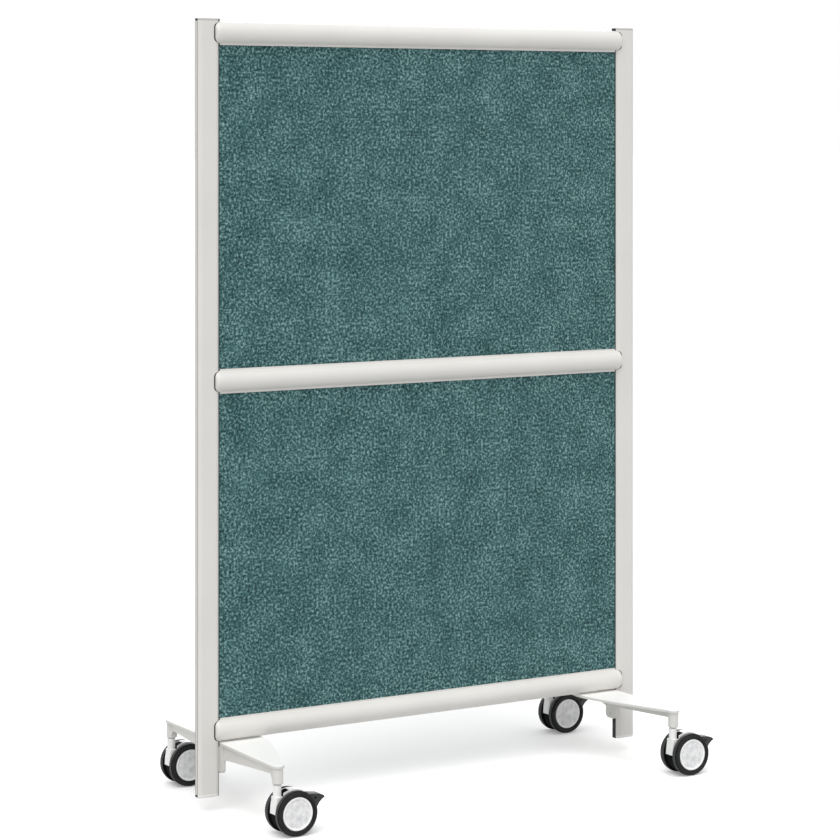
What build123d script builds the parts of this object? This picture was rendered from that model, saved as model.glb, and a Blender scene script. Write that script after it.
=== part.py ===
from build123d import *
import math
import os

# Mobile partition wall: two flattened oval posts, three round rails, two fabric-covered
# panels, two feet and four twin-wheel braked swivel casters. Millimetres, +Z up.
# The origin is on the floor midway between the posts. X runs along the width of the wall.
# "u" is the distance from a post's centre towards the middle of the wall.

# ---- driving dimensions -------------------------------------------------------------
HEIGHT = 1829.0          # floor to the top of the posts
POST_SPACING = 1175.0    # post centre to post centre

POST_LONG = 57.0         # oval section, along X
POST_THICK = 25.0        # oval section, along Y
POST_WALL = 2.0
POST_BOTTOM = 36.0       # underside of the lower cap
TOP_CAP = 5.0            # height of the cap's visible band
BOTTOM_CAP = 7.0
CAP_PLUG = 14.0          # how far a cap reaches into its post
CAP_NOTCH = 4.7          # depth of a cap's notch at each slot, from the tip
TOP_CAP_EDGE = 1.2       # rounding of the caps' outer rims
BOTTOM_CAP_EDGE = 4.0
CAP_FIT = 0.2            # plug's clearance in the post's chamber

SLOT = 12.6              # slot width in the posts and rails
SLOT_DEPTH = 17.0        # post channel depth, from the tangent of its narrow end
CHANNEL_WALL = 1.6
COVER_INSET = 0.5        # cover strip, below the post's surface
COVER_THICK = 3.0
COVER_GAP = 1.2          # open line on each side of the cover strip

RAIL_D = 50.8
RAIL_WALL = 2.0
RAIL_LOW = 186.0         # rail centre heights
RAIL_HIGH = 1796.6
RAIL_FLOOR = 14.0        # rail centre to the outside of the channel floor
RAIL_LIP = 28.5          # rail centre to the tip of the channel lips
RAIL_SEAM = 30.0         # u of the joint between rail tube and end cap
END_CAP_FRONT = 15.0     # u of the end cap's outer face
END_CAP_FILLET = 9.0
COPE_CLEAR = 0.9         # end cap to the post's surface
SADDLE_THICK = 0.8       # rubber saddle between the two
SADDLE_REACH = 2.6       # how far it shows past the end cap
SADDLE_FIT = 0.02
SPIGOT = 30.0            # end cap's reach into the rail tube

CORE_THICK = 9.0
FABRIC_THICK = 0.8
PANEL_EDGE_U = 14.0      # u of the panel's side edges
PANEL_TOP_CLEAR = 18.0   # rail centre to the panel edge below it
GASKET_OUT = 29.0        # u of the gasket's visible edge
GASKET_END = 25.8        # rail centre to the gasket's end
INFILL_IN = 24.0         # u of the infill strips' hidden side
UPPER_INFILL_OUT = 30.0  # and of their visible sides
LOWER_INFILL_OUT = 28.0

BOLT_D = 6.0
BOLT_HEAD_D = 10.0
BOLT_HEAD_H = 6.0
BOLT_LONG = 52.0         # shank length
BOLT_SOCKET_D = 5.0
BOLT_HOLE = 6.4
THREAD_HOLE = 6.1

FOOT_TOP = 159.5
FOOT_PLATE = 7.0
FOOT_EDGE_U = 28.7       # u of the plate's outer edge beside the post
FOOT_HALF = 268.5        # post centre to caster stem, along Y
FOOT_MID_U = 140.0       # u of the plate's inner edge beside the post
FOOT_INNER = ((119.0, 100.0), (93.0, 173.0))
STEM_U = 41.3
PLATE_END_R = 15.2
BOSS_R = 12.5
BOSS_BOTTOM = 117.0
WEB_THICK = 6.0
WEB_INSET = 5.0          # web's outer face, in from the plate's outer edge
WEB_POST_Z = 121.5       # web's lower edge beside the post
WEB_BOSS_Z = 136.0       # and beside the boss
TAB_HALF = 20.0
TAB_THICK = 10.0
TAB_BOTTOM = 88.0
TAB_CORNER = 10.0
FOOT_BOLT_Z = (100.0, 134.0)

WHEEL_R = 50.8
WHEEL_T = 20.0
WHEEL_Y = 24.8           # caster mid-plane to wheel mid-plane
WHEEL_SHOULDER = 7.5
TRAIL = 34.0
DISC_R = 37.5
HUB_T = 17.0
HUB_DISH = 2.5
AXLE_D = 8.0
RUN_CLEAR = 0.05         # radial running clearance
STEM_D = 11.0
STEM_TOP = 148.0
SWIVEL_D = 9.0
SWIVEL_BOTTOM = 74.0
COLLAR_R = 8.0
COLLAR_T = 2.0
NECK_R = 9.5
NECK_X = -1.5            # the neck's centre is ahead of the swivel axis
BODY_HALF = 13.0         # half width of the caster body between its wheels
CORE_R = 46.0
HOOD_R = 51.8            # hood's roof, round the axle
HOOD_FRONT = 8.4         # front edges of its side walls, beside the neck
ROOF_FRONT = 24.0        # front edge of its roof
HOOD_BACK = 57.0         # its open end, at the pedal
HOOD_ROOF = 84.0         # underside of the roof over the pedal's lug
HOOD_WALL = 2.5
NECK_FOOT_Z = 88.0       # top of the housing at the foot of the neck
HUB_SEAT_R = 15.0
SPLIT_Z = 50.6           # white arm above, black core below
PIVOT_X = 60.0           # pedal pivot, from the stem axis
PIVOT_Z = 68.0
TRUNNION_R = 3.0
CHEEK_IN = 9.0
LUG_R = 8.5
CUT_BACK = 12.0          # pivot to the front of the pedal's opening in the hood
CORE_FIT = 0.1           # hood to the core inside it
CORE_FRONT = 10.0        # the core's face behind the neck

PARTS = "parts"
GAP = 0.3                # between pieces that move past each other

# ---- derived ------------------------------------------------------------------------
HALF = POST_SPACING / 2
RAIL_MID = (RAIL_LOW + RAIL_HIGH) / 2
TUBE_LOW = POST_BOTTOM + BOTTOM_CAP
TUBE_HIGH = HEIGHT - TOP_CAP
TIP_U = POST_LONG / 2
FLOOR_U = TIP_U - SLOT_DEPTH
PLATE_LOW = FOOT_TOP - FOOT_PLATE
SLOT_HALF = SLOT / 2


# ---- helpers ------------------------------------------------------------------------
def block(x0, x1, y0, y1, z0, z1):
    """An axis-aligned box between two corners."""
    size = (x1 - x0, y1 - y0, z1 - z0)
    return Pos((x0 + x1) / 2, (y0 + y1) / 2, (z0 + z1) / 2) * Box(*size)


def rod_x(radius, x0, x1, y=0.0, z=0.0):
    """A round bar along X."""
    return Pos((x0 + x1) / 2, y, z) * Rot(0, 90, 0) * Cylinder(radius, x1 - x0)


def rod_y(radius, y0, y1, x=0.0, z=0.0):
    """A round bar along Y."""
    return Pos(x, (y0 + y1) / 2, z) * Rot(90, 0, 0) * Cylinder(radius, y1 - y0)


def rod_z(radius, z0, z1, x=0.0, y=0.0):
    """A round bar along Z."""
    return Pos(x, y, (z0 + z1) / 2) * Cylinder(radius, z1 - z0)


def oval(long, thick, z0, z1):
    """A bar with a flattened oval section, along Z."""
    return Pos(0, 0, z0) * extrude(SlotOverall(long, thick), z1 - z0)


def plate_xz(points, half):
    """A plate with an outline in X and Z, centred on Y = 0."""
    face = make_face(Polyline(*points, close=True))
    return Plane.XZ * extrude(face, half, both=True)


def at_left(shape):
    """Puts a shape made at a post's centre, inwards along +X, on the left post."""
    return Pos(-HALF, 0, 0) * shape


def at_right(shape):
    return mirror(at_left(shape), Plane.YZ)


def both_ends(shape):
    return [at_left(shape), at_right(shape)]


def save(name, shapes):
    """Writes one node; a list of shapes is a group of separate solids."""
    solids = []
    for shape in shapes if isinstance(shapes, list) else [shapes]:
        solids.extend(shape.solids())
    whole = solids[0] if len(solids) == 1 else Compound(children=solids)
    whole.label = name
    export_step(whole, os.path.join(PARTS, name + ".step"))


# ---- posts, their caps and slot covers ----------------------------------------------
def post():
    outer = oval(POST_LONG, POST_THICK, TUBE_LOW, TUBE_HIGH)
    inner = oval(POST_LONG - 2 * POST_WALL, POST_THICK - 2 * POST_WALL, TUBE_LOW, TUBE_HIGH)
    wide = SLOT_HALF + CHANNEL_WALL
    back = FLOOR_U - CHANNEL_WALL
    result = outer - inner
    for side in (-1, 1):
        near, far = sorted((side * back, side * (TIP_U - 0.5)))
        channel = block(near, far, -wide, wide, TUBE_LOW, TUBE_HIGH) & outer
        result += channel
    for side in (-1, 1):
        near, far = sorted((side * FLOOR_U, side * (TIP_U + 1)))
        result -= block(near, far, -SLOT_HALF, SLOT_HALF, TUBE_LOW, TUBE_HIGH)
    heights = [RAIL_LOW, RAIL_MID, RAIL_HIGH, *FOOT_BOLT_Z]
    for z in heights:
        result -= rod_x(BOLT_HOLE / 2, -FLOOR_U - 1, FLOOR_U + 1, 0, z)
    return result


def post_cap(z0, z1, plug_up, edge):
    """An end cap: a band notched at both slots, and a plug for the post's middle chamber."""
    band = oval(POST_LONG, POST_THICK, z0, z1)
    outer_face = -Axis.Z if plug_up else Axis.Z
    rim = band.faces().sort_by(outer_face)[-1]
    band = fillet(rim.edges(), edge)
    half_x = FLOOR_U - CHANNEL_WALL - CAP_FIT
    half_y = POST_THICK / 2 - POST_WALL - CAP_FIT
    inner_z = z1 if plug_up else z0
    reach = CAP_PLUG if plug_up else -CAP_PLUG
    low, high = sorted((inner_z, inner_z + reach))
    cap = band + block(-half_x, half_x, -half_y, half_y, low, high)
    for side in (-1, 1):
        near, far = sorted((side * (TIP_U - CAP_NOTCH), side * (TIP_U + 1)))
        cap -= block(near, far, -SLOT_HALF, SLOT_HALF, z0 - 1, z1 + 1)
    return cap


def slot_cover():
    """The strip that closes a post's outer slot, following the post's round edge."""
    long = POST_LONG - 2 * COVER_INSET
    thick = POST_THICK - 2 * COVER_INSET
    shell = oval(long, thick, TUBE_LOW + GAP, TUBE_HIGH - GAP)
    half = SLOT_HALF - COVER_GAP
    window = block(-TIP_U, -TIP_U + COVER_INSET + COVER_THICK, -half, half, TUBE_LOW, TUBE_HIGH)
    return shell & window


def infill(out, z0, z1):
    """A black strip that closes an unused stretch of a post's inner slot."""
    return block(INFILL_IN, out, -SLOT_HALF, SLOT_HALF, z0, z1)


# ---- rails --------------------------------------------------------------------------
def rail(z, sides):
    """A round tube with a panel channel on each of the given sides (+1 up, -1 down)."""
    r = RAIL_D / 2
    length = 2 * (HALF - RAIL_SEAM)
    section = Circle(r) - Circle(r - RAIL_WALL)
    wide = 2 * (SLOT_HALF + CHANNEL_WALL)
    deep = RAIL_LIP - RAIL_FLOOR
    for side in sides:
        section += Pos(0, side * (RAIL_FLOOR + deep / 2)) * Rectangle(wide, deep)
    for side in sides:
        cut = deep - RAIL_WALL
        section -= Pos(0, side * (RAIL_LIP - cut / 2 + 0.5)) * Rectangle(SLOT, cut + 1)
    bar = extrude(section, length / 2, both=True)
    return Pos(0, 0, z) * Plane.YZ.location * bar


def round_end(front_u, back_u):
    """The rail's full section with a rounded front, before it is coped round a post."""
    body = rod_x(RAIL_D / 2, front_u, back_u)
    front = body.faces().sort_by(Axis.X)[0]
    return fillet(front.edges(), END_CAP_FILLET)


def around_post(clear):
    """The post's section, larger by a clearance all round, over a rail's height."""
    return oval(POST_LONG + 2 * clear, POST_THICK + 2 * clear, -RAIL_D, RAIL_D)


def saddle(z):
    """Two rubber strips between an end cap and the post's faces, showing as a dark edge."""
    rubber = round_end(END_CAP_FRONT - SADDLE_REACH, RAIL_SEAM - 1)
    rubber &= around_post(SADDLE_FIT + SADDLE_THICK) - around_post(SADDLE_FIT)
    return Pos(0, 0, z) * (rubber - block(0, RAIL_SEAM, -SLOT_HALF, SLOT_HALF, -RAIL_D, RAIL_D))


def end_cap(z, sides):
    """A cap between rail and post: coped round the post, a tongue in its slot, a spigot."""
    r = RAIL_D / 2
    body = round_end(END_CAP_FRONT, RAIL_SEAM) - around_post(COPE_CLEAR)
    for side in sides:
        low, high = sorted((side * (RAIL_FLOOR + RAIL_WALL - 0.4), side * RAIL_D))
        body -= block(0, RAIL_SEAM, -SLOT_HALF - 0.2, SLOT_HALF + 0.2, low, high)
    spigot = rod_x(r - RAIL_WALL - 0.2, RAIL_SEAM - 1, RAIL_SEAM + SPIGOT)
    wide = SLOT_HALF + CHANNEL_WALL + 0.2
    for side in (-1, 1):
        low, high = sorted((side * (RAIL_FLOOR - 0.2), side * RAIL_D))
        spigot -= block(0, RAIL_SEAM + SPIGOT, -wide, wide, low, high)
    tongue_high = RAIL_FLOOR + RAIL_WALL - 0.6
    half = SLOT_HALF - 0.1
    tongue = block(FLOOR_U + 0.2, RAIL_SEAM, -half, half, -tongue_high, tongue_high)
    cap = body + spigot + tongue
    cap -= rod_x(THREAD_HOLE / 2, FLOOR_U - 1, FLOOR_U - 1 + BOLT_LONG)
    return Pos(0, 0, z) * cap


def bolt(z):
    """A socket-head bolt from the outer channel through the post, along +X."""
    seat = -FLOOR_U
    head = rod_x(BOLT_HEAD_D / 2, seat - BOLT_HEAD_H, seat)
    shank = rod_x(BOLT_D / 2, seat - 1, seat + BOLT_LONG)
    socket = rod_x(BOLT_SOCKET_D / 2, seat - BOLT_HEAD_H - 1, seat - BOLT_HEAD_H / 2)
    return Pos(0, 0, z) * (head + shank - socket)


# ---- panels -------------------------------------------------------------------------
def panel_span(low_rail, high_rail):
    return low_rail + RAIL_FLOOR + RAIL_WALL, high_rail - PANEL_TOP_CLEAR


def panel_core(low_rail, high_rail):
    z0, z1 = panel_span(low_rail, high_rail)
    half = HALF - PANEL_EDGE_U
    return block(-half, half, -CORE_THICK / 2, CORE_THICK / 2, z0, z1)


def panel_fabric(low_rail, high_rail, side):
    """The woven cover of one face; side -1 is the front."""
    z0, z1 = panel_span(low_rail, high_rail)
    half = HALF - PANEL_EDGE_U
    near, far = sorted((side * CORE_THICK / 2, side * (CORE_THICK / 2 + FABRIC_THICK)))
    return block(-half, half, near, far, z0, z1)


def gasket(low_rail, high_rail):
    """A U-shaped strip round a panel's side edge, in the post's inner slot."""
    z0 = low_rail + GASKET_END
    z1 = high_rail - GASKET_END
    panel = CORE_THICK / 2 + FABRIC_THICK
    strip = block(PANEL_EDGE_U - 1, GASKET_OUT, -SLOT_HALF, SLOT_HALF, z0, z1)
    return strip - block(PANEL_EDGE_U, GASKET_OUT + 1, -panel, panel, z0, z1)


# ---- feet ---------------------------------------------------------------------------
def foot():
    """A tapered plate with two caster bosses, edge webs and a tab keyed into the post."""
    top = FOOT_HALF
    inner = [(PLATE_END_R + STEM_U - 0.6, top - 4)]
    inner += [(u, y) for u, y in reversed(FOOT_INNER)]
    inner += [(FOOT_MID_U, 0)]
    inner += [(u, -y) for u, y in FOOT_INNER]
    inner += [(PLATE_END_R + STEM_U - 0.6, 4 - top)]
    curve = Spline(*inner)
    end_u = STEM_U - PLATE_END_R
    outer = [(end_u, 4 - top), (FOOT_EDGE_U, -TAB_HALF), (FOOT_EDGE_U, TAB_HALF), (end_u, top - 4)]
    edge = Polyline(curve @ 1, *outer, curve @ 0)
    plate = extrude(make_face(curve + edge), FOOT_PLATE)
    result = Pos(0, 0, PLATE_LOW) * plate
    ends = (-FOOT_HALF, FOOT_HALF)
    for y in ends:
        result += rod_z(PLATE_END_R, PLATE_LOW, FOOT_TOP, STEM_U, y)
    rim = result.faces().sort_by(Axis.Z)[-1]
    result = fillet(rim.edges(), 1.5)
    for y in ends:
        result += rod_z(BOSS_R, BOSS_BOTTOM, PLATE_LOW + 1, STEM_U, y)
    for side in (-1, 1):
        outline = [
            (side * (FOOT_HALF - BOSS_R / 2), PLATE_LOW + 1),
            (side * (FOOT_HALF - BOSS_R + 3), BOSS_BOTTOM + 2),
            (side * (FOOT_HALF - BOSS_R - 9), WEB_BOSS_Z),
            (side * (TAB_HALF + 20), WEB_POST_Z),
            (side * (TAB_HALF - 6), WEB_POST_Z - 6),
            (side * (TAB_HALF - 6), PLATE_LOW + 1),
        ]
        face = Plane.YZ * make_face(Polyline(*outline, close=True))
        web = extrude(face, WEB_THICK, dir=(1, 0, 0))
        result += Pos(FOOT_EDGE_U + WEB_INSET, 0, 0) * web
    tab = block(FOOT_EDGE_U, FOOT_EDGE_U + TAB_THICK, -TAB_HALF, TAB_HALF, TAB_BOTTOM, PLATE_LOW + 1)
    corners = tab.edges().filter_by(Axis.X).group_by(Axis.Z)[0]
    tab = fillet(corners, TAB_CORNER)
    half = SLOT_HALF - 0.1
    key = block(FLOOR_U + 0.2, FOOT_EDGE_U + 1, -half, half, TAB_BOTTOM + 4, PLATE_LOW - 4)
    result += tab + key
    for z in FOOT_BOLT_Z:
        result -= rod_x(THREAD_HOLE / 2, 0, FOOT_EDGE_U + TAB_THICK + 1, 0, z)
    for y in ends:
        result -= rod_z(STEM_D / 2, BOSS_BOTTOM - 1, STEM_TOP + 1, STEM_U, y)
    return result


def foot_bolt(z):
    """A shorter reach than the tab, so that it ends inside it."""
    return bolt(z) & block(-TIP_U, FOOT_EDGE_U + TAB_THICK - 1, -20, 20, z - 20, z + 20)


# ---- casters (made with the stem axis on the Z axis, trailing towards +X) -----------
def stem():
    """The fixed stem: a grip pin in the boss, a collar and the pin the caster turns on."""
    grip = rod_z(STEM_D / 2, BOSS_BOTTOM - 1, STEM_TOP)
    collar = rod_z(COLLAR_R, BOSS_BOTTOM - COLLAR_T, BOSS_BOTTOM)
    pin = rod_z(SWIVEL_D / 2, SWIVEL_BOTTOM, BOSS_BOTTOM - 1)
    return grip + collar + pin


def hood_shape(inset, front, back, top_inset=0.0):
    """The hood's outline between the wheels, with its sides and its top set in."""
    half = BODY_HALF - inset
    round_top = rod_y(HOOD_R - top_inset, -half, half, TRAIL, WHEEL_R)
    return round_top & block(front, back, -half, half, SPLIT_Z, 2 * HOOD_R)


def caster_arm():
    """The light housing: a neck on the swivel pin, a hood between the wheels, two cheeks."""
    outline = [
        (-13.8, SPLIT_Z),
        (-12.6, 68.0),
        (-10.4, 80.0),
        (NECK_X - NECK_R + 1, NECK_FOOT_Z),
        (HOOD_FRONT + 1, NECK_FOOT_Z),
        (HOOD_FRONT + 1, SPLIT_Z),
    ]
    fender = plate_xz(outline, BODY_HALF)
    front = [e for e in fender.edges() if e.center().X < -9 and abs(e.center().Y) > BODY_HALF - 1]
    arm = fillet(front, 2.5)
    arm += hood_shape(0, HOOD_FRONT, HOOD_BACK)
    arm -= hood_shape(HOOD_WALL, HOOD_FRONT, PIVOT_X - CUT_BACK, HOOD_WALL)
    arm -= hood_shape(HOOD_WALL, HOOD_FRONT, ROOF_FRONT, -1)
    cheek = LUG_R + 1
    arm += rod_y(cheek, -BODY_HALF, BODY_HALF, PIVOT_X, PIVOT_Z)
    arm += block(HOOD_BACK - 1, PIVOT_X, -BODY_HALF, BODY_HALF, PIVOT_Z - cheek, PIVOT_Z + cheek)
    arm += rod_z(NECK_R, 80, BOSS_BOTTOM - COLLAR_T - GAP, NECK_X)
    arm -= block(PIVOT_X - CUT_BACK, 90, -CHEEK_IN, CHEEK_IN, 40, HOOD_ROOF)
    arm -= rod_y(TRUNNION_R + RUN_CLEAR, -BODY_HALF - 1, BODY_HALF + 1, PIVOT_X, PIVOT_Z)
    arm -= rod_y(HUB_SEAT_R, -BODY_HALF - 1, BODY_HALF + 1, TRAIL, WHEEL_R)
    arm -= rod_z(SWIVEL_D / 2 + RUN_CLEAR, SWIVEL_BOTTOM - 1, BOSS_BOTTOM)
    return arm


def caster_core():
    """The dark housing round the axle; it fills the hood and shows where the roof is open."""
    core = rod_y(CORE_R, -BODY_HALF, BODY_HALF, TRAIL, WHEEL_R)
    core &= block(-20, 62, -20, 20, 0, SPLIT_Z)
    inset = HOOD_WALL + CORE_FIT
    core += hood_shape(inset, CORE_FRONT, PIVOT_X - CUT_BACK - CORE_FIT, inset)
    core += hood_shape(inset, CORE_FRONT, ROOF_FRONT - GAP, GAP)
    core += rod_y(HUB_SEAT_R, -BODY_HALF, BODY_HALF, TRAIL, WHEEL_R)
    return core - rod_y(AXLE_D / 2, -20, 20, TRAIL, WHEEL_R)


def axle():
    reach = WHEEL_Y + 5
    return rod_y(AXLE_D / 2, -reach, reach, TRAIL, WHEEL_R)


def pedal():
    """The brake pedal: a lug on trunnions and a wing that reaches past the wheels."""
    wing = [
        (64.0, 78.0),
        (62.0, 87.0),
        (70.0, 88.0),
        (100.0, 84.0),
        (110.0, 80.0),
        (113.0, 76.0),
        (106.0, 71.5),
        (99.0, 65.0),
        (94.0, 57.0),
        (88.0, 58.0),
        (80.0, 66.0),
    ]
    body = plate_xz(wing, BODY_HALF - 0.5)
    body -= rod_y(LUG_R + 1 + GAP + 0.5, -20, 20, PIVOT_X, PIVOT_Z)
    lug = rod_y(LUG_R, -CHEEK_IN + GAP, CHEEK_IN - GAP, PIVOT_X, PIVOT_Z)
    lug += block(PIVOT_X, 84, -CHEEK_IN + GAP, CHEEK_IN - GAP, PIVOT_Z - 3, PIVOT_Z + 8)
    pins = rod_y(TRUNNION_R, -BODY_HALF + 0.2, BODY_HALF - 0.2, PIVOT_X, PIVOT_Z)
    result = body + lug + pins
    return result - rod_y(2.6, -20, 20, 89, 76.5)


def tyre(side):
    """One black tread ring with round shoulders; side -1 is the front wheel of the pair."""
    ring = rod_y(WHEEL_R, -WHEEL_T / 2, WHEEL_T / 2)
    rims = ring.edges().filter_by(GeomType.CIRCLE)
    ring = fillet(rims, WHEEL_SHOULDER)
    ring -= rod_y(DISC_R, -WHEEL_T, WHEEL_T)
    return Pos(TRAIL, side * WHEEL_Y, WHEEL_R) * ring


def hub(side):
    """The wheel's light disc, dished on its outer face and bored from its inner face."""
    body = rod_y(DISC_R, -HUB_T / 2, HUB_T / 2)
    body -= rod_y(DISC_R - 3, HUB_T / 2 - HUB_DISH, HUB_T)
    body += rod_y(9.0, HUB_T / 2 - HUB_DISH - 0.5, HUB_T / 2 - HUB_DISH + 1)
    body -= rod_y(DISC_R - 4, -HUB_T, -HUB_T / 2 + 3) - rod_y(10.0, -HUB_T, HUB_T)
    body -= rod_y(AXLE_D / 2 + RUN_CLEAR, -HUB_T, 5.2)
    if side < 0:
        body = mirror(body, Plane.XZ)
    return Pos(TRAIL, side * WHEEL_Y, WHEEL_R) * body


# ---- build every node ---------------------------------------------------------------
os.makedirs(PARTS, exist_ok=True)

section_post = post()
top_cap = post_cap(TUBE_HIGH, HEIGHT, False, TOP_CAP_EDGE)
bottom_cap = post_cap(POST_BOTTOM, TUBE_LOW, True, BOTTOM_CAP_EDGE)
for name, place_on in (("left", at_left), ("right", at_right)):
    save(name + "_post", place_on(section_post))
    save(name + "_post_top_cap", place_on(top_cap))
    save(name + "_post_bottom_cap", place_on(bottom_cap))
    save(name + "_slot_cover", place_on(slot_cover()))
upper_infill = infill(UPPER_INFILL_OUT, RAIL_HIGH + GASKET_END, HEIGHT - 0.5)
lower_infill = infill(LOWER_INFILL_OUT, POST_BOTTOM + 0.5, TAB_BOTTOM - GAP)
save("slot_infills", both_ends(upper_infill) + both_ends(lower_infill))

RAILS = (
    ("top_rail", RAIL_HIGH, (-1,)),
    ("middle_rail", RAIL_MID, (-1, 1)),
    ("bottom_rail", RAIL_LOW, (1,)),
)
for name, height, channels in RAILS:
    save(name, rail(height, channels))
    save(name + "_end_caps", both_ends(end_cap(height, channels)))
save("rail_saddles", [s for _, z, _ in RAILS for s in both_ends(saddle(z))])
save("rail_bolts", [s for _, z, _ in RAILS for s in both_ends(bolt(z))])

PANELS = (
    ("upper", RAIL_MID, RAIL_HIGH),
    ("lower", RAIL_LOW, RAIL_MID),
)
for name, low, high in PANELS:
    save(name + "_panel_core", panel_core(low, high))
    save(name + "_fabric_front", panel_fabric(low, high, -1))
    save(name + "_fabric_back", panel_fabric(low, high, 1))
save("panel_gaskets", [s for _, a, b in PANELS for s in both_ends(gasket(a, b))])

one_foot = foot()
save("left_foot", at_left(one_foot))
save("right_foot", at_right(one_foot))
save("foot_bolts", [s for z in FOOT_BOLT_Z for s in both_ends(foot_bolt(z))])

CASTERS = (
    ("front_left", -1, -1),
    ("rear_left", -1, 1),
    ("front_right", 1, -1),
    ("rear_right", 1, 1),
)
stems = []
for name, side_x, side_y in CASTERS:
    place = Pos(side_x * (HALF - STEM_U), side_y * FOOT_HALF, 0)
    stems.append(place * stem())
    save(name + "_caster_arm", place * caster_arm())
    save(name + "_caster_core", place * caster_core())
    save(name + "_caster_axle", place * axle())
    save(name + "_brake_pedal", place * pedal())
    for label, side in (("outer", -1), ("inner", 1)):
        save(name + "_" + label + "_tyre", place * tyre(side))
        save(name + "_" + label + "_hub", place * hub(side))
save("caster_stems", stems)
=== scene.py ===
import math

import bmesh
import bpy
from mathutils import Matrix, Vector, noise


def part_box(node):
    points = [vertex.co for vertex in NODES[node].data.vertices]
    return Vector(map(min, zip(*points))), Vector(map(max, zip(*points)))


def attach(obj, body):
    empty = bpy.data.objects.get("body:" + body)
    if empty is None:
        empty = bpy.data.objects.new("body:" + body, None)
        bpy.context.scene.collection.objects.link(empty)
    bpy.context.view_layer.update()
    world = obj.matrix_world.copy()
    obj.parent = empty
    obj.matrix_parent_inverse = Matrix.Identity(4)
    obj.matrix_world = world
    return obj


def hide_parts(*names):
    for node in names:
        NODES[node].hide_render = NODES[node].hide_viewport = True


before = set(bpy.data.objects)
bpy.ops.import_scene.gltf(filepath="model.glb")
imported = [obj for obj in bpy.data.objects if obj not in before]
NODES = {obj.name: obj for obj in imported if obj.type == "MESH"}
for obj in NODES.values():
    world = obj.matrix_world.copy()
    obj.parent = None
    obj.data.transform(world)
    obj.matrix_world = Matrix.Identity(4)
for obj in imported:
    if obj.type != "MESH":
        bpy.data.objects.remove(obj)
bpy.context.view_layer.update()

# ---- dimensions that the looks share with the frame, in metres --------------------------
POST_X = 0.5875          # post centres, each side of the middle
SLOT_HALF = 0.00635      # half width of the posts' slots, with their lips' edges
CAP_SLOT = 0.0235        # how far from a post's centre its caps' notches begin, which are painted black as shade
COVER_HALF = 0.00505     # half width of a cover strip's light face; beyond it the edges are painted black as shade
FOOT_TOP = 0.1595        # upper face of the feet
PAINTED_TOP_LIGHT_FADE = 0.0025       # below that face, the height in which its painted top highlight fades out
CASTERS = ("front_left", "rear_left", "front_right", "rear_right")

# ---- wheels -----------------------------------------------------------------------------
WHEEL_SEGMENTS = 120
DISC_R = 0.0375          # joint between a wheel's disc and its tyre
SHOULDER = 0.0068        # radius of the tyre's shoulders
GROOVE = 0.0011          # size of the groove between sidewall and tread
TREAD_INSET = 0.0092     # from a tyre's side to the flat of its tread
RIM_HIGHLIGHT_WIDTH = 0.0052       # band round the disc that gets a painted highlight
RIM_BEAD = 0.0018        # radius of the bead at its edge
DISH_DEPTH = 0.0021      # how far the dish lies below the bead
HOLLOWS = 5              # shallow hollows round the dish
HOLLOW_DEPTH = 0.0011

# ---- cloth ------------------------------------------------------------------------------
FABRIC_STEP = 0.009      # spacing of the mesh
FABRIC_SKIN = 0.0008     # thickness
FABRIC_TUCK = 0.0006     # how far the outermost edge is pulled in
FABRIC_BORDER = 0.014    # flat border
FABRIC_RISE = 0.045      # width in which the cloth rises from there to its crown
FABRIC_CROWN = 0.0007    # how far the middle of a panel stands out
FABRIC_SWAY = 3.1        # slow changes in the crown, per metre
FABRIC_RIPPLE = 0.00006  # height of the tension ripples
FABRIC_PULLS = 26.0      # those ripples, per metre

# ---- surface grain: cells per metre, and relief in metres -------------------------------
# powder coat
CLOUDING = 7.0
SPECKS = 900.0
COAT_PATCHES = 55.0
ORANGE_PEEL = 650.0
PEEL_DEPTH = 0.00006
# moulded plastic
FLOW_MARKS = 30.0
PLASTIC_PATCHES = 80.0
SPARK = 1500.0
SPARK_DEPTH = 0.00005
# tyres and discs
DUST = 90.0
RUBBER_PATCHES = 60.0
RUBBER_GRAIN = 1100.0
RUBBER_DEPTH = 0.00012
MOTTLE = 85.0
NYLON_PATCHES = 70.0
NYLON_GRAIN = 700.0
NYLON_DEPTH = 0.00006
# steel and board
DRAWN_LINES = 90.0
DRAWN_DEPTH = 0.00004
FIBRES = 420.0
FIBRE_DEPTH = 0.0004
# cloth
YARNS = 165.0
CLOTH_CLOUDS = 13.0
WEAVE = 250.0
WEAVE_DEPTH = 0.0006

# ---- edges ------------------------------------------------------------------------------
TOUCHING = 0.00001       # points nearer than this are one point
BEVEL_ANGLE = 32.0       # only edges sharper than this are rounded
CREASE_ANGLE = 35.0      # shading breaks at edges sharper than this
FOOT_ROUND = 0.0009      # radius given to the feet's edges
CASTER_ROUND = 0.0008    # to those of the casters' arms and cores
PEDAL_ROUND = 0.0012     # and to the pedals'

# ---- studio -----------------------------------------------------------------------------
BACKDROP = 1.0           # brightness of the backdrop as it is seen
FILL = 0.55              # brightness that it lights the wall with
FLOOR_GLOW = 0.20        # light that the floor gives off where it is seen
FLOOR_BOUNCE = 0.62      # share of the light that it throws back up
FLOOR_REACH = 120.0
FLOOR_LEVEL = -0.0002    # just below the treads


# ---- camera -----------------------------------------------------------------------------
def make_camera():
    """A level camera at the photograph's angle and height, with its frame shifted down."""
    azimuth = math.radians(31.21)
    distance, across, height = 6.4762, -0.0112, 1.5724
    forward = Vector((math.sin(azimuth), math.cos(azimuth), 0.0))
    right = Vector((math.cos(azimuth), -math.sin(azimuth), 0.0))
    data = bpy.data.cameras.new("camera")
    data.sensor_width = 36.0
    data.lens = 114.78
    data.shift_y = -0.3455
    data.clip_end = 200.0
    camera = bpy.data.objects.new("camera", data)
    camera.location = right * across - forward * distance + Vector((0.0, 0.0, height))
    camera.rotation_euler = (math.radians(90.0), 0.0, -azimuth)
    bpy.context.scene.collection.objects.link(camera)
    bpy.context.scene.camera = camera


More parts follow.
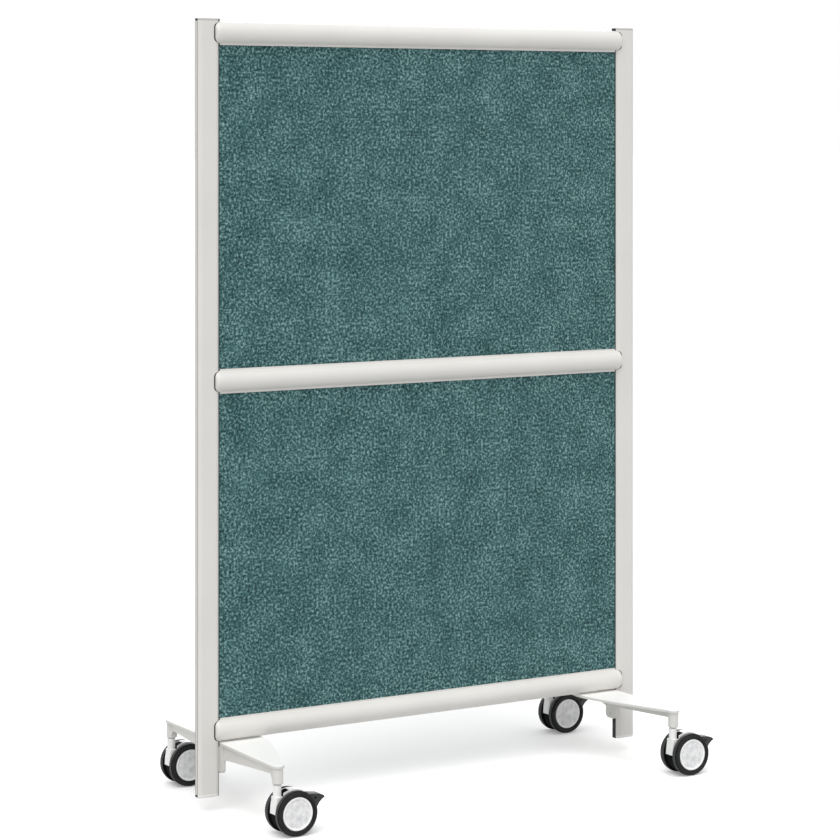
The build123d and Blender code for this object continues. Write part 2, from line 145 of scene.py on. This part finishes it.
# ---- node material helpers --------------------------------------------------------------
class Shader:
    """A Principled material with short calls for the nodes used here."""

    def __init__(self, name):
        self.material = bpy.data.materials.new(name)
        self.material.use_nodes = True
        self.tree = self.material.node_tree
        self.tree.nodes.clear()
        self.out = self.tree.nodes.new("ShaderNodeOutputMaterial")
        self.bsdf = self.tree.nodes.new("ShaderNodeBsdfPrincipled")
        self.link(self.bsdf.outputs["BSDF"], self.out.inputs["Surface"])
        self.place = self.tree.nodes.new("ShaderNodeTexCoord").outputs["Object"]

    def link(self, a, b):
        self.tree.links.new(a, b)

    def feed(self, value, socket):
        """Sets a socket to a number or links it to another node's output."""
        if isinstance(value, (int, float)):
            socket.default_value = value
        elif isinstance(value, tuple):
            socket.default_value = (*value, 1.0)
        else:
            self.link(value, socket)

    def mapped(self, scale):
        """Object coordinates, scaled along each axis."""
        node = self.tree.nodes.new("ShaderNodeMapping")
        node.inputs["Scale"].default_value = scale
        self.link(self.place, node.inputs["Vector"])
        return node.outputs["Vector"]

    def noise(self, scale, detail=2.0, rough=0.5, vector=None, distortion=0.0):
        node = self.tree.nodes.new("ShaderNodeTexNoise")
        node.inputs["Scale"].default_value = scale
        node.inputs["Detail"].default_value = detail
        node.inputs["Roughness"].default_value = rough
        node.inputs["Distortion"].default_value = distortion
        self.link(vector or self.place, node.inputs["Vector"])
        return node.outputs["Fac"]

    def wave(self, scale, direction, distortion):
        node = self.tree.nodes.new("ShaderNodeTexWave")
        node.bands_direction = direction
        node.inputs["Scale"].default_value = scale
        node.inputs["Distortion"].default_value = distortion
        node.inputs["Detail"].default_value = 1.0
        node.inputs["Detail Scale"].default_value = 2.0
        self.link(self.place, node.inputs["Vector"])
        return node.outputs["Fac"]

    def span(self, value, low, high, to_low=0.0, to_high=1.0):
        """Maps low..high to to_low..to_high, and holds the ends."""
        node = self.tree.nodes.new("ShaderNodeMapRange")
        ends = {"From Min": low, "From Max": high, "To Min": to_low, "To Max": to_high}
        for key, number in ends.items():
            node.inputs[key].default_value = number
        self.link(value, node.inputs["Value"])
        return node.outputs["Result"]

    def math(self, kind, a, b):
        node = self.tree.nodes.new("ShaderNodeMath")
        node.operation = kind
        # both sockets have the same name, so they are taken by number
        self.feed(a, node.inputs[0])
        self.feed(b, node.inputs[1])
        return node.outputs[0]

    def size(self, value):
        """The value without its sign."""
        return self.math("ABSOLUTE", value, 0.0)

    def mix(self, amount, a, b):
        """Colour a where amount is 0 and colour b where it is 1."""
        node = self.tree.nodes.new("ShaderNodeMix")
        node.data_type = "RGBA"
        # the colour sockets come after those for numbers and vectors, under the same names
        self.link(amount, node.inputs[0])
        self.feed(a, node.inputs[6])
        self.feed(b, node.inputs[7])
        return node.outputs[2]

    def axes(self):
        """The x, y and z of the point being shaded."""
        node = self.tree.nodes.new("ShaderNodeSeparateXYZ")
        self.link(self.place, node.inputs["Vector"])
        return node.outputs

    def painted_slot_shade(self, reach):
        """1 where a post's slot is painted black as shade: nearer the mid-plane than its lips, further
        out than reach.
        """
        x, y = self.axes()[:2]
        shallow = self.math("LESS_THAN", self.size(y), SLOT_HALF)
        offset = self.math("SUBTRACT", self.size(x), POST_X)
        deep = self.math("GREATER_THAN", self.size(offset), reach)
        return self.math("MULTIPLY", shallow, deep)

    def bump(self, height, distance, strength):
        node = self.tree.nodes.new("ShaderNodeBump")
        node.inputs["Distance"].default_value = distance
        node.inputs["Strength"].default_value = strength
        self.link(height, node.inputs["Height"])
        return node.outputs["Normal"]

    def drift(self, noise, low=0.0, high=1.0):
        """Stretches the range that a noise mostly keeps to over low..high."""
        return self.span(noise, 0.3, 0.7, low, high)

    def dull(self, patches, low, high, detail=2.0):
        """A roughness that wanders from low to high in patches, so many to a metre."""
        return self.drift(self.noise(patches, detail), low, high)

    def finish(self, color, roughness, normal=None, **fixed):
        """Links the surface, sets the fixed inputs by name and gives the material back."""
        self.link(color, self.bsdf.inputs["Base Color"])
        self.link(roughness, self.bsdf.inputs["Roughness"])
        if normal is not None:
            self.link(normal, self.bsdf.inputs["Normal"])
        for key, value in fixed.items():
            self.bsdf.inputs[key.replace("_", " ")].default_value = value
        return self.material


def linear(r, g, b):
    """An sRGB colour, 0 to 255, as linear values."""
    shares = (r / 255, g / 255, b / 255)
    return tuple(c / 12.92 if c <= 0.04045 else ((c + 0.055) / 1.055) ** 2.4 for c in shares)


def shade(color, factor):
    """The same colour, lighter or darker by a factor."""
    return tuple(min(1.0, c * factor) for c in color)


def powder_coat(name, color, rough=0.42, slot=None, top=None):
    """Satin powder coat: fine orange peel, faint clouding and a few rubbed specks.

    slot is how far from a post's centre the inside of its slots is painted black as shade, or None;
    top is the colour of a foot's upper face, a painted highlight of light from above, or None.
    """
    s = Shader(name)
    tint = s.mix(s.drift(s.noise(CLOUDING, 3.0)), shade(color, 0.975), shade(color, 1.02))
    speck = s.span(s.noise(SPECKS), 0.62, 0.72)
    tint = s.mix(s.math("MULTIPLY", speck, 0.08), tint, shade(color, 0.75))
    # painted shade: inside a post's slots and its caps' notches the colour turns near black
    if slot is not None:
        tint = s.mix(s.painted_slot_shade(slot), tint, linear(24, 24, 24))
    # painted highlight: a foot's upper face gets a whiter colour, as if lit from above
    if top is not None:
        upper = s.span(s.axes()[2], FOOT_TOP - PAINTED_TOP_LIGHT_FADE, FOOT_TOP - PAINTED_TOP_LIGHT_FADE / 5)
        tint = s.mix(upper, tint, top)
    peel = s.bump(s.noise(ORANGE_PEEL), PEEL_DEPTH, 0.5)
    return s.finish(tint, s.dull(COAT_PATCHES, rough - 0.05, rough + 0.06, detail=3.0), peel)


def moulded(name, color, rough, spread=0.03, gloss=0.5):
    """Moulded plastic: a fine spark texture with slight flow marks.

    spread is how far the flow marks lighten and darken the colour.
    """
    s = Shader(name)
    flow = s.drift(s.noise(FLOW_MARKS, 4.0, 0.55, distortion=0.6))
    tint = s.mix(flow, shade(color, 1 - spread), shade(color, 1 + spread))
    dull = s.dull(PLASTIC_PATCHES, rough - 0.06, rough + 0.06)
    return s.finish(tint, dull, s.bump(s.noise(SPARK), SPARK_DEPTH, 0.6), Specular_IOR_Level=gloss)


def strip_with_painted_edge_shade(name, color, half):
    """A cover strip whose edges, beyond the given half width, are painted black as the shade in the
    gap beside them.
    """
    s = Shader(name)
    tint = s.mix(s.drift(s.noise(FLOW_MARKS, 4.0, 0.55)), shade(color, 0.97), shade(color, 1.03))
    # painted shade: the strip's side walls, in the gap to the slot, turn near black
    edge = s.math("GREATER_THAN", s.size(s.axes()[1]), half)
    tint = s.mix(edge, tint, linear(20, 20, 20))
    fine = s.bump(s.noise(SPARK), SPARK_DEPTH, 0.6)
    return s.finish(tint, s.dull(PLASTIC_PATCHES, 0.44, 0.56), fine)


def tyre_rubber(name, clean, dusty):
    """Charcoal rubber, paler where dust has settled."""
    s = Shader(name)
    dust = s.span(s.noise(DUST, 4.0, 0.6), 0.45, 0.75)
    tint = s.mix(dust, clean, dusty)
    fine = s.bump(s.noise(RUBBER_GRAIN, 3.0), RUBBER_DEPTH, 0.7)
    return s.finish(tint, s.dull(RUBBER_PATCHES, 0.50, 0.68), fine, Specular_IOR_Level=0.25)


def wheel_disc(name, low, high):
    """Light nylon with soft mottling."""
    s = Shader(name)
    blot = s.span(s.noise(MOTTLE, 2.0, 0.45), 0.35, 0.65)
    tint = s.mix(blot, low, high)
    fine = s.bump(s.noise(NYLON_GRAIN), NYLON_DEPTH, 0.6)
    return s.finish(tint, s.dull(NYLON_PATCHES, 0.30, 0.44), fine)


def zinc(name, tone=1.0):
    """Zinc-plated steel with drawn lines; a lower tone is a blackened finish."""
    s = Shader(name)
    lines = s.noise(DRAWN_LINES, 3.0, vector=s.mapped((40.0, 1.0, 1.0)))
    low, high = shade(linear(168, 168, 170), tone), shade(linear(205, 205, 205), tone)
    tint = s.mix(s.drift(lines), low, high)
    return s.finish(tint, s.drift(lines, 0.26, 0.42), s.bump(lines, DRAWN_DEPTH, 0.5), Metallic=1.0)


def fibreboard(name):
    """Raw board: short pressed fibres."""
    s = Shader(name)
    fibre = s.noise(FIBRES, 4.0, vector=s.mapped((1.0, 1.0, 4.0)))
    tint = s.mix(s.span(fibre, 0.35, 0.65), linear(140, 112, 80), linear(184, 156, 116))
    return s.finish(tint, s.drift(fibre, 0.8, 0.95), s.bump(fibre, FIBRE_DEPTH, 0.6))


def heather_cloth(name):
    """Teal heather: felted yarns in several shades over a plain weave, softly clouded."""
    s = Shader(name)
    dark, middle, light = linear(4, 30, 34), linear(58, 100, 102), linear(158, 196, 196)
    grain = s.noise(YARNS, 2.0, 0.7)
    clouds = s.noise(CLOTH_CLOUDS, 3.0, 0.6)
    tone = s.math("ADD", s.math("MULTIPLY", grain, 0.84), s.math("MULTIPLY", clouds, 0.16))
    tint = s.mix(s.span(tone, 0.32, 0.50), dark, middle)
    tint = s.mix(s.span(tone, 0.50, 0.69), tint, light)
    weave = s.math("MAXIMUM", s.wave(WEAVE, "X", 1.4), s.wave(WEAVE, "Z", 1.4))
    tint = s.mix(s.span(weave, 0.75, 0.1, 0.0, 0.35), tint, dark)
    relief = s.math("ADD", s.math("MULTIPLY", weave, 0.5), s.math("MULTIPLY", grain, 1.2))
    return s.finish(
        tint,
        s.drift(tone, 0.86, 0.97),
        s.bump(relief, WEAVE_DEPTH, 0.8),
        Sheen_Weight=0.15,
        Sheen_Roughness=0.5,
        Specular_IOR_Level=0.2,
    )


# ---- mesh helpers -----------------------------------------------------------------------
def new_object(name, bm, material, smooth=True):
    """Puts a finished mesh into the scene as an object."""
    bmesh.ops.recalc_face_normals(bm, faces=bm.faces)
    mesh = bpy.data.meshes.new(name)
    bm.to_mesh(mesh)
    bm.free()
    for polygon in mesh.polygons:
        polygon.use_smooth = smooth
    mesh.materials.append(material)
    obj = bpy.data.objects.new(name, mesh)
    bpy.context.scene.collection.objects.link(obj)
    return obj


def lathe(name, profile, centre, side, materials, pick, relief=None):
    """Turns a closed (radius, offset) outline about the wheel axle; side mirrors the offset.

    pick(radius, offset) gives the index of a face's material, and relief(radius, offset,
    angle) how far a point sinks into the face.
    """
    bm = bmesh.new()
    rings = []
    for i in range(WHEEL_SEGMENTS):
        angle = 2 * math.pi * i / WHEEL_SEGMENTS
        c, s = math.cos(angle), math.sin(angle)
        ring = []
        for r, y in profile:
            sunk = relief(r, y, angle) if relief else 0.0
            ring.append(bm.verts.new((r * c, side * (y - sunk), r * s)))
        rings.append(ring)
    for i in range(WHEEL_SEGMENTS):
        a, b = rings[i], rings[(i + 1) % WHEEL_SEGMENTS]
        for j in range(len(profile)):
            k = (j + 1) % len(profile)
            face = bm.faces.new((a[j], a[k], b[k], b[j]))
            r, y = ((u + v) / 2 for u, v in zip(profile[j], profile[k]))
            face.material_index = pick(r, y)
    obj = new_object(name, bm, materials[0])
    for extra in materials[1:]:
        obj.data.materials.append(extra)
    obj.location = centre
    keep_creases(obj)
    return obj


def keep_creases(obj):
    """Smooth shading that breaks at sharp edges."""
    mesh = obj.data
    limit = math.radians(CREASE_ANGLE)
    bm = bmesh.new()
    bm.from_mesh(mesh)
    for edge in bm.edges:
        edge.smooth = len(edge.link_faces) == 2 and edge.calc_face_angle(0.0) < limit
    bm.to_mesh(mesh)
    bm.free()


def arc(cx, cy, radius, start, end, steps):
    """Points on an arc in profile space, angles in degrees."""
    out = []
    for i in range(steps + 1):
        a = math.radians(start + (end - start) * i / steps)
        out.append((cx + radius * math.cos(a), cy + radius * math.sin(a)))
    return out


def soften(node, width):
    """Rounds a CAD node's sharp edges with modifiers, leaving its own mesh as packed."""
    obj = NODES[node]
    weld = obj.modifiers.new("weld", "WELD")
    weld.merge_threshold = TOUCHING
    bevel = obj.modifiers.new("bevel", "BEVEL")
    bevel.width = width
    bevel.segments = 2
    bevel.limit_method = "ANGLE"
    bevel.angle_limit = math.radians(BEVEL_ANGLE)
    weighted = obj.modifiers.new("weighted", "WEIGHTED_NORMAL")
    weighted.keep_sharp = True


def paint(node, material):
    """Gives every material slot of a CAD node the same material."""
    obj = NODES[node]
    if not obj.material_slots:
        obj.data.materials.append(material)
    for item in obj.material_slots:
        item.material = material


# ---- soft panels: a cloth skin per face, stretched over the board -----------------------
def wander(x, z, waves, layer):
    """A smooth value about zero, with so many waves to a metre; each layer has its own."""
    return noise.noise(Vector((x * waves, layer, z * waves)))


def stand_off(x, z, side, edge):
    """How far the cloth stands off its board at a point this far from the nearest edge."""
    rise = min(1.0, max(0.0, (edge - FABRIC_BORDER) / FABRIC_RISE))
    rise = rise * rise * (3 - 2 * rise)
    crown = FABRIC_CROWN * (1.0 + 0.35 * wander(x, z, FABRIC_SWAY, side * 5.0))
    ripple = FABRIC_RIPPLE * wander(x, z, FABRIC_PULLS, side * 9.0)
    tuck = FABRIC_TUCK if edge < TOUCHING else 0.0
    return rise * (crown + ripple) - tuck


def fabric_panel(node, material):
    """A stretched cloth sheet with a slight crown, faint tension ripples and tucked edges."""
    low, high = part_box(node)
    side = -1.0 if node.endswith("front") else 1.0
    back = high.y if side < 0 else low.y
    width, height = high.x - low.x, high.z - low.z
    nx, nz = round(width / FABRIC_STEP), round(height / FABRIC_STEP)
    bm = bmesh.new()
    grid = []
    for j in range(nz + 1):
        row = []
        for i in range(nx + 1):
            x, z = low.x + width * i / nx, low.z + height * j / nz
            edge = min(x - low.x, high.x - x, z - low.z, high.z - z)
            y = back + side * (FABRIC_SKIN * 0.5 + stand_off(x, z, side, edge))
            row.append(bm.verts.new((x, y, z)))
        grid.append(row)
    for j in range(nz):
        for i in range(nx):
            bm.faces.new((grid[j][i], grid[j][i + 1], grid[j + 1][i + 1], grid[j + 1][i]))
    obj = new_object(node + "_cloth", bm, material)
    solid = obj.modifiers.new("thickness", "SOLIDIFY")
    solid.thickness = FABRIC_SKIN * 0.9
    solid.offset = 0.0
    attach(obj, "wall_frame")
    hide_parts(node)


# ---- wheel meshes: outlines as (radius, offset from the wheel's middle) ------------------
def tyre_profile(radius, half):
    """Outline from the disc seat over the ribbed sidewall, a groove, the shoulder and tread."""
    seat, wall = DISC_R, radius - SHOULDER
    lead_in = [(seat, half - 0.0034), (seat + 0.0014, half - 0.0016), (seat + 0.0030, half - 0.0009)]
    rib = [(seat + 0.0036, half - 0.0014), (seat + 0.0042, half - 0.0009), (wall, half)]
    shoulder = arc(wall, half - SHOULDER, SHOULDER, 84, 36, 6)
    edge, side = shoulder[-1]
    groove = [(edge - GROOVE * 0.4, side - GROOVE), (edge + GROOVE * 0.6, side - GROOVE * 2.5)]
    flat, ease, drop = half - TREAD_INSET, 0.0018, 0.0004
    tread = [(radius - drop, flat + ease), (radius, flat), (radius, 0.0)]
    tread += [(radius, -flat), (radius - drop, -flat - ease)]
    inner_shoulder = arc(wall, SHOULDER - half, SHOULDER, -24, -84, 8)
    flank = [(wall - 0.0017, 0.0002 - half), (seat, 0.0012 - half)]
    return lead_in + rib + shoulder + groove + tread + inner_shoulder + flank


def tyre_zones(half):
    """Tread 0, outer sidewall 1, and 2 for the groove between them and the inner flank, which take the
    black of the cores as painted shade.
    """
    sidewall, groove, flank = half - 0.0030, half - 0.0058, 0.0035 - half

    def pick(r, y):
        if y > sidewall:
            return 1
        return 2 if y > groove or y < flank else 0

    return pick


def disc_profile(radius, half):
    """Outline of the light wheel disc: bright rim bead, shallow dish and centre."""
    bore, boss, sleeve, pole = 0.0042, 0.0100, 0.0052, 0.0002
    fit, wall, recess = 0.0001, 0.0040, 0.0030
    inside, rim_edge = radius - wall, radius - fit
    outer = [(bore, -half), (boss, -half), (boss, recess - half), (inside, recess - half)]
    outer += [(inside, -half), (rim_edge, -half)]
    rim = [(rim_edge, half - 0.0022)]
    rim += arc(rim_edge - RIM_BEAD, half - RIM_BEAD, RIM_BEAD, 0, 90, 6)
    rim += [(radius - 0.0036, half - 0.0001), (radius - 0.0050, half - 0.0012)]
    rim += [(radius - 0.0065, half - 0.0019)]
    edge, middle, swell, steps = radius - 0.0085, 0.0040, 0.0009, 12
    dish = []
    for i in range(steps + 1):
        r = edge + (middle - edge) * i / steps
        dish.append((r, half - DISH_DEPTH + swell * math.cos(0.5 * math.pi * r / edge)))
    centre = [(pole, half - 0.0011), (pole, sleeve), (bore, sleeve)]
    return outer + rim + dish + centre


def disc_zones(radius):
    """The dish 0 and the rim bead 1, whose lighter colour is a painted highlight."""
    return lambda r, y: int(r > radius - RIM_HIGHLIGHT_WIDTH)


def disc_hollows(radius, half):
    """The shallow hollows round the dish, as a relief function."""
    face, inner, outer = half - 0.0030, 0.0050, radius - 0.0090

    def relief(r, y, angle):
        if y < face or not inner < r < outer:
            return 0.0
        along = math.sin(math.pi * (r - inner) / (outer - inner))
        around = 0.5 + 0.5 * math.cos(HOLLOWS * angle)
        return HOLLOW_DEPTH * along * around * around

    return relief


def wheel_size(node):
    """Centre, radius and half width of a node that is round about the axle's direction."""
    low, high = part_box(node)
    return (low + high) / 2, (high.x - low.x) / 2, (high.y - low.y) / 2


def make_tyre(node, side, materials):
    centre, radius, half = wheel_size(node)
    profile = tyre_profile(radius, half)
    return lathe(node + "_turned", profile, centre, side, materials, tyre_zones(half))


def make_disc(node, side, materials):
    centre, radius, half = wheel_size(node)
    profile, relief = disc_profile(radius, half), disc_hollows(radius, half)
    return lathe(node + "_turned", profile, centre, side, materials, disc_zones(radius), relief)


def make_wheel(name, label, materials):
    """The tyre and the disc of one wheel; an outer wheel faces the front."""
    side = -1.0 if label == "outer" else 1.0
    for part, maker, slot_name in (("tyre", make_tyre, "black_tyre"), ("hub", make_disc, "grey_disc")):
        node = f"{name}_{label}_{part}"
        obj = maker(node, side, materials[part])
        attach(obj, f"{name}_{label}_wheel")
        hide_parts(node)


# ---- studio -----------------------------------------------------------------------------
def camera_only(tree, seen, unseen, out):
    """Shows one shader to the camera and in reflections; another gives the soft light."""
    path = tree.nodes.new("ShaderNodeLightPath")
    choose = tree.nodes.new("ShaderNodeMixShader")
    either = tree.nodes.new("ShaderNodeMath")
    either.operation = "MAXIMUM"
    tree.links.new(path.outputs["Is Camera Ray"], either.inputs[0])
    tree.links.new(path.outputs["Is Glossy Ray"], either.inputs[1])
    tree.links.new(either.outputs[0], choose.inputs["Fac"])
    tree.links.new(unseen, choose.inputs[1])
    tree.links.new(seen, choose.inputs[2])
    tree.links.new(choose.outputs["Shader"], out)


def make_floor():
    """A wide sheet of pale paper."""
    bm = bmesh.new()
    corners = ((-1, -1), (1, -1), (1, 1), (-1, 1))
    bm.faces.new([bm.verts.new((x * FLOOR_REACH, y * FLOOR_REACH, FLOOR_LEVEL)) for x, y in corners])
    s = Shader("floor_paper")
    tint = s.mix(s.drift(s.noise(2.0, 3.0)), (0.93, 0.93, 0.93), (0.95, 0.95, 0.945))
    material = s.finish(
        tint,
        s.dull(20.0, 0.7, 0.8),
        Specular_IOR_Level=0.0,
        Emission_Color=(1.0, 1.0, 1.0, 1.0),
        Emission_Strength=FLOOR_GLOW,
    )
    bounce = s.tree.nodes.new("ShaderNodeBsdfDiffuse")
    bounce.inputs["Color"].default_value = (FLOOR_BOUNCE, FLOOR_BOUNCE, FLOOR_BOUNCE, 1.0)
    camera_only(s.tree, s.bsdf.outputs["BSDF"], bounce.outputs["BSDF"], s.out.inputs["Surface"])
    new_object("floor", bm, material, smooth=False)


def make_world():
    """A white backdrop that gives less light than it shows."""
    world = bpy.data.worlds.new("studio")
    world.use_nodes = True
    tree = world.node_tree
    tree.nodes.clear()
    out = tree.nodes.new("ShaderNodeOutputWorld")
    shaders = []
    for strength in (BACKDROP, FILL):
        node = tree.nodes.new("ShaderNodeBackground")
        node.inputs["Color"].default_value = (1.0, 1.0, 1.0, 1.0)
        node.inputs["Strength"].default_value = strength
        shaders.append(node.outputs["Background"])
    camera_only(tree, *shaders, out.inputs["Surface"])
    bpy.context.scene.world = world


def make_studio():
    """Even fill, a broad key from the front left, a top light and a weaker one behind.

    Each light has the direction it comes from, its spread in degrees and its power.
    """
    make_floor()
    make_world()
    for name, toward, spread, power in (
        ("key", (-0.35, -0.50, 0.90), 55.0, 1.75),
        ("top", (0.0, -0.20, 1.0), 70.0, 0.50),
        ("back", (0.40, 0.80, 0.20), 45.0, 0.80),
    ):
        data = bpy.data.lights.new(name, "SUN")
        data.angle = math.radians(spread)
        data.energy = power
        lamp = bpy.data.objects.new(name, data)
        lamp.rotation_euler = Vector(toward).to_track_quat("Z", "Y").to_euler()
        lamp.location = Vector(toward) * 4.0
        bpy.context.scene.collection.objects.link(lamp)
    bpy.context.scene.view_settings.view_transform = "Standard"
    bpy.context.scene.view_settings.look = "None"


# ---- build ------------------------------------------------------------------------------
make_camera()
make_studio()

COAT = powder_coat("coat", linear(221, 219, 215))
# painted shade: the posts are black inside their slots
POST_COAT = powder_coat("post_coat_painted_slot_shade", linear(220, 218, 214), slot=0.0)
# painted highlight: the feet's upper faces are whiter than their sides
FOOT_COAT = powder_coat("foot_coat", linear(218, 217, 213), 0.38, top=linear(250, 250, 248))
CAP = moulded("cap_plastic", linear(222, 220, 216), 0.42)
# painted shade: the caps are black in their notches over the slots
TOP_CAP = powder_coat("top_cap_plastic", linear(190, 188, 185), 0.5, slot=CAP_SLOT)
BOTTOM_CAP = powder_coat("bottom_cap_plastic", linear(236, 235, 231), 0.4, slot=CAP_SLOT)
# painted shade: the cover strips' edges are black
COVER = strip_with_painted_edge_shade("cover_plastic", linear(208, 205, 200), COVER_HALF)
ARM = moulded("arm_plastic", linear(243, 243, 241), 0.36)
BLACK = moulded("black_plastic", linear(24, 24, 26), 0.42, spread=0.12)
CORE = moulded("core_plastic", linear(14, 14, 15), 0.6, spread=0.12, gloss=0.02)
RUBBER = moulded("gasket_rubber", linear(26, 30, 30), 0.75, spread=0.1)
STEEL = zinc("zinc_steel")
DARK_STEEL = zinc("dark_steel", 0.25)
BOARD = fibreboard("fibreboard")
CLOTH = heather_cloth("heather_cloth")
TREAD = tyre_rubber("tread", linear(54, 54, 56), linear(70, 70, 70))
SIDEWALL = tyre_rubber("sidewall", linear(16, 16, 18), linear(30, 30, 30))
DISC = wheel_disc("disc_nylon", linear(218, 218, 220), linear(243, 243, 243))
# painted highlight: the rim bead is lighter than the dish
RIM = wheel_disc("rim_nylon_painted_highlight", linear(246, 246, 246), linear(252, 252, 252))
# painted shade: a tyre's groove and inner flank take the black core material
WHEEL = {"tyre": (TREAD, SIDEWALL, CORE), "hub": (DISC, RIM)}

FINISHES = {
    POST_COAT: ("left_post", "right_post"),
    COAT: ("top_rail", "middle_rail", "bottom_rail"),
    FOOT_COAT: ("left_foot", "right_foot"),
    TOP_CAP: ("left_post_top_cap", "right_post_top_cap"),
    BOTTOM_CAP: ("left_post_bottom_cap", "right_post_bottom_cap"),
    CAP: ("top_rail_end_caps", "middle_rail_end_caps", "bottom_rail_end_caps"),
    COVER: ("left_slot_cover", "right_slot_cover"),
    BOARD: ("upper_panel_core", "lower_panel_core"),
    RUBBER: ("panel_gaskets", "slot_infills", "rail_saddles"),
    STEEL: ("rail_bolts", "foot_bolts"),
    DARK_STEEL: ("caster_stems",),
}
CASTER_FINISHES = {"caster_arm": ARM, "caster_core": CORE, "caster_axle": STEEL, "brake_pedal": BLACK}
CASTER_EDGES = {"caster_arm": CASTER_ROUND, "caster_core": CASTER_ROUND, "brake_pedal": PEDAL_ROUND}

for material, names in FINISHES.items():
    for node_name in names:
        paint(node_name, material)
for node_name in FINISHES[FOOT_COAT]:
    soften(node_name, FOOT_ROUND)
for caster in CASTERS:
    for part_name, material in CASTER_FINISHES.items():
        paint(f"{caster}_{part_name}", material)
    for part_name, width in CASTER_EDGES.items():
        soften(f"{caster}_{part_name}", width)
    for wheel_label in ("outer", "inner"):
        make_wheel(caster, wheel_label, WHEEL)
for level in ("upper", "lower"):
    for face in ("front", "back"):
        fabric_panel(f"{level}_fabric_{face}", CLOTH)
